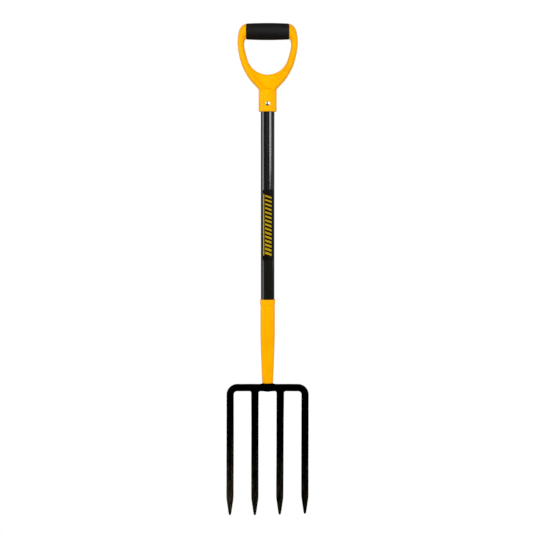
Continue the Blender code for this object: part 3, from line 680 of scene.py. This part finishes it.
def make_tang(material):
    """Tapered round bar with a hollow-sided oval shoulder on the crossbar and a tenon through it."""
    sections = [(0.6 * TANG_TIP_RADIUS, 0.6 * TANG_TIP_RADIUS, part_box("tang")[1].z)]
    sections.append((TANG_TIP_RADIUS, TANG_TIP_RADIUS, sections[0][2] - 2 * MM))
    sections.append((TANG_RADIUS, TANG_RADIUS, TANG_TAPER_FROM))
    sections.append((TANG_RADIUS, TANG_RADIUS, HEAD_HEIGHT + SHOULDER_TOP[2] + 0.1 * MM))
    for k in range(10, -1, -1):
        a = math.radians(9 * k)
        half = mix(SHOULDER_FOOT[0], SHOULDER_TOP[0], math.sin(a))
        deep = mix(SHOULDER_FOOT[1], SHOULDER_TOP[1], math.sin(a))
        height = mix(SHOULDER_FOOT[2] + 0.35 * MM, SHOULDER_TOP[2], 1 - math.cos(a))
        sections.append((half, deep, HEAD_HEIGHT + height))
    sections.append((SHOULDER_FOOT[0] - 0.2 * MM, SHOULDER_FOOT[1] - 0.2 * MM, HEAD_HEIGHT + 0.1 * MM))
    sections.append((TENON_RADIUS, TENON_RADIUS, HEAD_HEIGHT + 0.1 * MM))
    sections.append((TENON_RADIUS, TENON_RADIUS, CROSSBAR_LOW))
    angles = [2 * math.pi * i / 72 for i in range(72)]
    rings = [
        [Vector((half * math.cos(a), deep * math.sin(a), z)) for a in angles]
        for half, deep, z in sections
    ]
    add_piece("tang_forged", skin(rings), material, "tang", sharp=50)


# ---------------------------------------------------------------- handle


def ferrule_radius(height):
    """Outside of the ferrule: parallel at the top, then a swelling taper down to the foot."""
    if height >= FERRULE_STRAIGHT_FROM:
        return FERRULE_RADIUS
    share = (FERRULE_STRAIGHT_FROM - height) / (FERRULE_STRAIGHT_FROM - FERRULE_LOW)
    return mix(FERRULE_RADIUS, FERRULE_FOOT_RADIUS, share**FERRULE_TAPER_POWER)


def ferrule_dent(angle, radius, height):
    """Press marks round the foot, a slight seam at the back and faint hollows in the taper."""
    if radius < FERRULE_FOOT_RADIUS - 1.5 * MM:
        return 0.0
    foot = height - FERRULE_LOW
    push = 0.0
    for mark, centre, reach in PRESS_MARKS:
        turn = math.remainder(angle - mark, 2 * math.pi) * FERRULE_FOOT_RADIUS / MM
        push += 0.28 * math.exp(-((turn / 3.6) ** 2) - ((foot / MM - centre) / reach) ** 2)
    seam = math.remainder(angle - math.pi, 2 * math.pi) * radius / MM
    push += 0.12 * math.exp(-((seam / 0.6) ** 2)) * smooth(0, 8 * MM, foot)
    point = (math.sin(angle) * radius, math.cos(angle) * radius, height)
    push += 0.06 * grain(point, 60, 8)
    return -push * MM


def make_ferrule(material):
    """Steel sleeve: rolled collar, pressed groove, straight stretch, taper and turned-in foot."""
    low = FERRULE_HIGH - COLLAR_HEIGHT
    edge, groove, lip = 1.1 * MM, low - 3 * MM, 2.4 * MM
    bore = FERRULE_RADIUS - FERRULE_WALL
    mouth = FERRULE_HIGH - 1.2 * MM
    outside = [(bore, mouth), (COLLAR_RADIUS - 1.4 * MM, FERRULE_HIGH - 0.25 * MM)]
    outside += arc((COLLAR_RADIUS - edge, FERRULE_HIGH - edge), edge, 80, 0, 6)
    outside += [(COLLAR_RADIUS - 0.12 * MM, (FERRULE_HIGH + low) / 2 - 1.5 * MM)]
    outside += arc((COLLAR_RADIUS - edge, low + edge), edge, 0, -50, 4)
    outside += [(FERRULE_RADIUS + 0.1 * MM, low - 0.45 * MM), (FERRULE_RADIUS, low - 1.2 * MM)]
    for depth, centre, half in ((0.55, groove, 1.3), (0.12, groove - 6.0 * MM, 2.2)):
        for k in range(9):
            u = k / 4 - 1
            dip = depth * MM * (1 + math.cos(math.pi * u)) / 2
            outside.append((FERRULE_RADIUS - dip, centre - u * half * MM))
    straight = [(FERRULE_RADIUS, outside[-1][1] - 1 * MM), (FERRULE_RADIUS, FERRULE_STRAIGHT_FROM)]
    outside = filled(outside, 1.5 * MM) + filled(straight, 2 * MM)
    foot = FERRULE_LOW + lip
    taper_steps = 60
    for i in range(1, taper_steps + 1):
        z = mix(FERRULE_STRAIGHT_FROM, foot, i / taper_steps)
        outside.append((ferrule_radius(z), z))
    outside += arc((ferrule_radius(foot) - lip, foot), lip, -8, -88, 8)
    hole = ferrule_radius(foot) - lip - 1.2 * MM
    heights = (foot + 3 * MM, 320 * MM, 350 * MM, FERRULE_STRAIGHT_FROM)
    inside = [(hole, FERRULE_LOW), (hole, foot)]
    inside += [(ferrule_radius(z) - FERRULE_WALL, z) for z in heights]
    inside.append((bore, mouth))
    bm = turned(outside + inside, 120, ferrule_dent)
    return add_piece("ferrule_painted", bm, material, "ferrule", sharp=50)


def make_shaft(material):
    """Pultruded tube with a barely uneven outside."""
    bore, edge = SHAFT_RADIUS - 3.4 * MM, 0.6 * MM
    outside = [(SHAFT_RADIUS - edge, SHAFT_HIGH), (SHAFT_RADIUS, SHAFT_HIGH - edge)]
    outside.append((SHAFT_RADIUS, SHAFT_LOW))
    profile = filled(outside, 6 * MM) + [(bore, SHAFT_LOW), (bore, SHAFT_HIGH)]

    def wobble(angle, radius, height):
        place = (math.sin(angle) * 0.02, math.cos(angle) * 0.02, height * 0.3)
        return -0.03 * MM * (1 + grain(place, 70, 2))

    bm = turned(profile, 144, wobble)
    return add_piece("shaft_tube", bm, material, "shaft")


def make_label(material):
    """Thin film with rounded corners, wrapped round the front of the shaft."""
    inner, outer = SHAFT_RADIUS - 0.05 * MM, SHAFT_RADIUS + 0.14 * MM
    corner = 3.0 * MM
    width = (LABEL_ARC[1] - LABEL_ARC[0]) * SHAFT_RADIUS
    count = 64
    rings = []
    for i in range(count + 1):
        share = (1 - math.cos(math.pi * i / count)) / 2
        angle = mix(LABEL_ARC[0], LABEL_ARC[1], share)
        side = min(share, 1 - share) * width
        inset = corner - math.sqrt(max(0.0, corner**2 - (corner - min(side, corner)) ** 2))
        low, high = LABEL_LOW + inset, LABEL_HIGH - inset
        heights = [mix(low, high, k / 24) for k in range(25)]
        thick = outer - (0.07 * MM if min(side, 1.0) < 0.2 * MM else 0.0)
        ring = [(thick, z) for z in heights] + [(inner, z) for z in reversed(heights)]
        rings.append([Vector((r * math.sin(angle), -r * math.cos(angle), z)) for r, z in ring])
    return add_piece("shaft_label_film", skin(rings), material, "shaft_label")


# ---------------------------------------------------------------- D-grip


def relax(bm, verts, times):
    """Smooths points of a mesh a number of times."""
    for _ in range(times):
        bmesh.ops.smooth_vert(
            bm, verts=verts, factor=0.5, use_axis_x=True, use_axis_y=True, use_axis_z=True
        )


def is_blended(place):
    """Whether a point of the moulding is above the socket, and not on a face beside the sleeve."""
    beside_sleeve = 44 * MM <= abs(place.x) <= 46 * MM and place.z >= GRIP_HEIGHT - 18 * MM
    return place.z > SOCKET_TOP - 9 * MM and not beside_sleeve


def make_grip(material):
    """The moulding: the CAD solid in fine steps, its joins blended as a mould blends them."""
    source = nodes["grip_frame"]
    piece = bpy.data.objects.new("grip_moulding", source.data.copy())
    bpy.context.scene.collection.objects.link(piece)
    weld = piece.modifiers.new("weld", "WELD")
    weld.merge_threshold = 0.01 * MM
    remesh = piece.modifiers.new("remesh", "REMESH")
    remesh.mode = "VOXEL"
    remesh.voxel_size = 0.8 * MM
    evaluated = piece.evaluated_get(bpy.context.evaluated_depsgraph_get())
    mesh = bpy.data.meshes.new_from_object(evaluated)
    bpy.data.objects.remove(piece)
    bm = bmesh.new()
    bm.from_mesh(mesh)
    soft = [vertex for vertex in bm.verts if is_blended(vertex.co)]
    relax(bm, bm.verts, 3)
    relax(bm, soft, 9)
    low, high = SOCKET_TOP - FILLET_REACH, SOCKET_TOP + FILLET_REACH
    fillet = [v for v in bm.verts if low < v.co.z < high and abs(v.co.x) > 11 * MM]
    relax(bm, fillet, 16)
    bm.normal_update()
    for vertex in bm.verts:
        fade = smooth(SOCKET_TOP - 14 * MM, SOCKET_TOP + 4 * MM, vertex.co.z)
        p = vertex.co
        vertex.co = p + vertex.normal * (0.12 * fade + 0.05 * grain(p, 70, 5)) * MM
    return add_piece("grip_moulding", bm, material, "grip_frame", sharp=70)


def make_sleeve(material):
    """Soft sleeve, fatter in the middle, with rolled ends and a faint mould line."""
    half, edge = SLEEVE_HALF, 1.5 * MM
    end = SLEEVE_RADIUS - SLEEVE_BARREL
    outside = []
    straight = half - edge
    steps = 48
    for i in range(steps + 1):
        z = mix(straight, -straight, i / steps)
        outside.append((end + SLEEVE_BARREL * (1 - (z / straight) ** 2), z))
    upper = [(GRIP_CORE_RADIUS + 0.05 * MM, half - 0.5 * MM), (end - edge - 0.8 * MM, half)]
    upper += arc((end - edge, straight), edge, 90, 10, 6)
    profile = upper + outside + [(r, -z) for r, z in reversed(upper)]

    def wobble(angle, radius, height):
        if radius < end - 2 * MM:
            return 0.0
        seam = math.remainder(angle - math.pi, 2 * math.pi) * radius / MM
        line = 0.12 * math.exp(-((seam / 0.5) ** 2))
        place = (math.sin(angle) * 0.03, math.cos(angle) * 0.03, height)
        return (line - 0.1 + 0.07 * grain(place, 60, 4)) * MM

    bm = turned(profile, 160, wobble)
    for vertex in bm.verts:
        p = vertex.co
        vertex.co = Vector((p.z, p.y, GRIP_HEIGHT + p.x))
    return add_piece("grip_sleeve_soft", bm, material, "grip_sleeve")


def make_rivet(material):
    """Domed rivet head with a rolled edge and a dimple round its pin, and the tail it is set by."""
    head, seat = RIVET_HEAD_RADIUS, RIVET_CROWN - RIVET_HEAD_HEIGHT
    shank, tail = 2.4 * MM, 4.0 * MM  # the shank's radius, and how far from the axis the tail ends
    profile = [(RIVET_BORE, RIVET_CROWN - 0.9 * MM), (RIVET_BORE, RIVET_CROWN - 0.35 * MM)]
    profile.append((RIVET_BORE + 0.25 * MM, RIVET_CROWN - 0.08 * MM))
    shares = (0.42, 0.52, 0.62, 0.72, 0.82, 0.9, 0.96)  # of the head's radius
    profile += [(head * share, RIVET_CROWN - 1.35 * MM * share**2.6) for share in shares]
    profile += arc((head - 0.3 * MM, seat + 0.3 * MM), 0.3 * MM, 30, -90, 5)
    profile += [(shank, seat), (shank, 9.5 * MM)]
    profile += [(3.1 * MM, 9.2 * MM), (3.6 * MM, 6.6 * MM), (2.7 * MM, tail), (RIVET_BORE, tail)]
    bm = turned(profile, 64)
    for vertex in bm.verts:
        p = vertex.co
        dent = 0.05 * MM * grain(p, 500, 3)
        vertex.co = Vector((p.x, -p.z - dent, RIVET_HEIGHT + p.y))
    return add_piece("rivet_dome", bm, material, "rivet_body")


# ---------------------------------------------------------------- stage


def aim(thing, target):
    """Turns a light to face a target."""
    thing.rotation_euler = (Vector(target) - thing.location).to_track_quat("-Z", "Y").to_euler()


def softbox(name, place, target, width, height, power, only=None):
    """An area light aimed at a target, that lights every piece or only the given ones."""
    light = bpy.data.lights.new(name, "AREA")
    light.shape, light.size, light.size_y = "RECTANGLE", width, height
    light.energy = power
    lamp = bpy.data.objects.new(name, light)
    lamp.location = place
    aim(lamp, target)
    bpy.context.scene.collection.objects.link(lamp)
    if only:
        lit = bpy.data.collections.new(name)
        for piece in only:
            lit.objects.link(piece)
        lamp.light_linking.receiver_collection = lit
    return lamp


def seen_white(tree, surface, output, kind):
    """Makes a surface plain white to the camera, and leaves it as it is for every other ray."""
    white = tree.nodes.new(kind)
    ray = tree.nodes.new("ShaderNodeLightPath")
    shader = tree.nodes.new("ShaderNodeMixShader")
    tree.links.new(ray.outputs["Is Camera Ray"], shader.inputs[0])
    tree.links.new(surface.outputs[0], shader.inputs[1])
    tree.links.new(white.outputs[0], shader.inputs[2])
    tree.links.new(shader.outputs[0], output.inputs["Surface"])
    white.inputs["Color"].default_value = (1, 1, 1, 1)


def make_floor():
    """A pale disc that is plain white to the camera, so that the ground fades into the room."""
    bm = bmesh.new()
    bmesh.ops.create_circle(bm, cap_ends=True, segments=96, radius=FLOOR_RADIUS)
    mesh = bpy.data.meshes.new("floor")
    bm.to_mesh(mesh)
    bm.free()
    look = Look("floor_white", specular=0.0)
    mesh.materials.append(look.finish((0.7, 0.7, 0.7, 1.0), 0.9))
    seen_white(look.tree, look.shader, look.tree.nodes["Material Output"], "ShaderNodeEmission")
    floor = bpy.data.objects.new("floor", mesh)
    floor.visible_glossy = False
    bpy.context.scene.collection.objects.link(floor)


def make_room():
    """Even light from all round, weaker where a glossy surface mirrors it."""
    world = bpy.data.worlds.new("studio")
    bpy.context.scene.world = world
    world.use_nodes = True
    room = world.node_tree.nodes["Background"]
    room.inputs["Color"].default_value = (1, 1, 1.02, 1)
    ray = world.node_tree.nodes.new("ShaderNodeLightPath")
    level = world.node_tree.nodes.new("ShaderNodeMapRange")
    level.inputs["To Min"].default_value = ROOM_MIRRORED
    level.inputs["To Max"].default_value = ROOM_DIFFUSE
    world.node_tree.links.new(ray.outputs["Is Diffuse Ray"], level.inputs["Value"])
    world.node_tree.links.new(level.outputs[0], room.inputs["Strength"])
    output = world.node_tree.nodes["World Output"]
    seen_white(world.node_tree, room, output, "ShaderNodeBackground")


def make_lights(yellow, tube):
    """Softboxes for everything, small ones for the yellow pieces and tall strips for the tube."""
    # Soft fill that no glossy surface mirrors.
    for name, place, power in (
        ("overhead", (0, -0.9, 2.7), 5),
        ("fill_left", (-2.2, -0.5, 0.8), 20),
        ("fill_right", (2.1, -0.7, 0.8), 23),
        ("fill_front", (0.1, -2.8, 1.0), 15),
        ("fill_back", (0, 2.8, 1.2), 10),
    ):
        softbox(name, place, (0, 0, 0.65), 1.6, 1.4, power).visible_glossy = False
    softbox("front_left", (-1.3, -2.4, 1.9), (0, 0, 0.6), 1.4, 1.2, 24)
    # Tall bluish strips that only glossy surfaces show, for the tube and what lies along it.
    for name, place, target, width, height, power in (
        ("strip_left", (-1.6, -0.12, 1.35), 1.15, 0.7, 1.7, 22),
        ("strip_left_low", (-1.6, -0.16, 0.2), 0.3, 0.85, 0.5, 3),
        ("strip_right", (1.12, -1.08, 1.26), 1.05, 0.95, 1.1, 33),
        ("strip_right_far", (1.8, 0.5, 1.1), 0.9, 0.9, 1.5, 2.7),
        ("strip_front", (-0.25, -2.6, 1.25), 0.9, 0.7, 0.9, 1.1),
    ):
        lamp = softbox(name, place, (0, 0, target), width, height, power, tube)
        lamp.visible_diffuse = False
        lamp.data.color = STRIP_COLOUR
    # Small glossy lights for the yellow pieces.
    for name, place, width, height, power in (
        ("shine_side", (-2.2, -0.5, 1.1), 0.5, 0.8, 6),
        ("shine_left", (-1.7, -2.0, 1.15), 0.6, 0.8, 12),
        ("shine_right", (1.7, -2.0, 1.15), 0.6, 0.8, 13),
        ("shine_front", (0, -2.6, 1.15), 1.5, 0.6, 18),
        ("shine_top", (-0.7, -1.2, 2.4), 0.9, 0.6, 6),
    ):
        softbox(name, place, (0, 0, 0.95), width, height, power, yellow).visible_diffuse = False


def make_camera():
    """A long lens in front of the tool and a little above its middle, looking slightly down."""
    data = bpy.data.cameras.new("camera")
    data.lens, data.sensor_width = LENS_AND_SENSOR
    camera = bpy.data.objects.new("camera", data)
    camera.location = CAMERA_PLACE
    camera.rotation_euler = (math.pi / 2 - CAMERA_DIP, 0, 0)
    bpy.context.scene.collection.objects.link(camera)
    bpy.context.scene.camera = camera


# ---------------------------------------------------------------- build

steel, weld, paint = black_steel(), weld_steel(), yellow_paint()
make_head_bar(steel)
make_inner_tine("inner_tine_left_forged", -INNER_TINE_X, 1, steel, "inner_tine_left")
make_inner_tine("inner_tine_right_forged", INNER_TINE_X, 2, steel, "inner_tine_right")
make_tine_weld("tine_weld_left_run", -INNER_TINE_X, weld, "tine_weld_left")
make_tine_weld("tine_weld_right_run", INNER_TINE_X, weld, "tine_weld_right")
make_tang_weld(weld)
make_tang(steel)
ferrule = make_ferrule(paint)
shaft = make_shaft(fibreglass())
label = make_label(label_film())
grip = make_grip(yellow_plastic())
sleeve = make_sleeve(soft_black())
rivet = make_rivet(rivet_metal())
for name, material in (("tang_core", hardwood()), ("rivet_mandrel", dark_steel())):
    nodes[name].data.materials.clear()
    nodes[name].data.materials.append(material)

make_floor()
make_room()
make_lights((ferrule, grip), (shaft, label, sleeve, rivet))
make_camera()
scene = bpy.context.scene
scene.view_settings.view_transform = "Standard"
scene.view_settings.use_curve_mapping = True
scene.view_settings.curve_mapping.black_level = (0.003, 0.003, 0.003)
scene.view_settings.curve_mapping.update()
